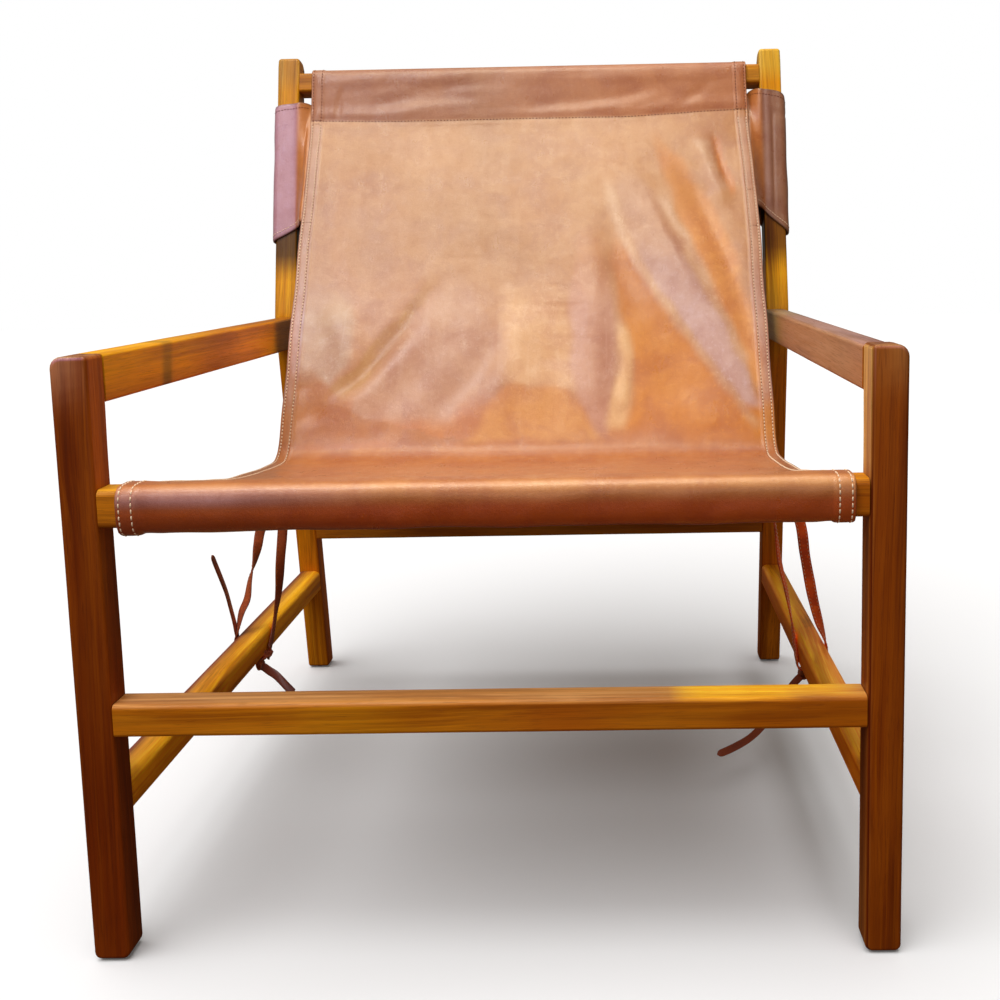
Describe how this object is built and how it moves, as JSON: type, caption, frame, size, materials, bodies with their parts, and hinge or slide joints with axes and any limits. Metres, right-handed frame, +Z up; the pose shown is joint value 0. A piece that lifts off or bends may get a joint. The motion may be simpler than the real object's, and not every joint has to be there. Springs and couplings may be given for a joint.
{
  "type": "leather sling lounge chair",
  "caption": "Low wooden lounge chair with open armrests and a leather sling that wraps the front and top rails, loops round the rear posts and is tied to the side stretchers.",
  "frame": {"origin": "middle of the footprint of the bounding box, on the floor", "axes": "+Z up, -Y the way the sitter faces, +X to the right as seen from the front"},
  "size_m": [0.7168, 0.7518, 0.8948],
  "materials": {
    "wood_dark": "oiled, satin",
    "wood_mid": "oiled, satin",
    "wood_gold": "oiled, satin",
    "leather": "satin, pale stitching",
    "leather_strap": "satin",
    "glide": "matte"
  },
  "bodies": {
    "root": {"front_leg_left": "wood_dark", "front_leg_right": "wood_dark", "rear_post_left": "wood_gold", "rear_post_right": "wood_gold", "armrest_left": "wood_mid", "armrest_right": "wood_mid", "front_seat_rail": "wood_gold", "front_stretcher": "wood_mid", "rear_stretcher": "wood_mid", "top_rail": "wood_gold", "side_stretcher_left": "wood_gold", "side_stretcher_right": "wood_gold", "sling": "leather", "edge_strip_left": "leather", "edge_strip_right": "leather", "post_loop_left": "leather", "post_loop_right": "leather", "tie_strap_left": "leather_strap", "tie_strap_right": "leather_strap", "tie_knot_left": "leather_strap", "tie_knot_right": "leather_strap", "strap_end_left_upper": "leather_strap", "strap_end_left_lower": "leather_strap", "strap_end_right_lower": "leather_strap", "glide_front_left": "glide", "glide_front_right": "glide", "glide_rear_left": "glide", "glide_rear_right": "glide"}
  },
  "joints": []
}
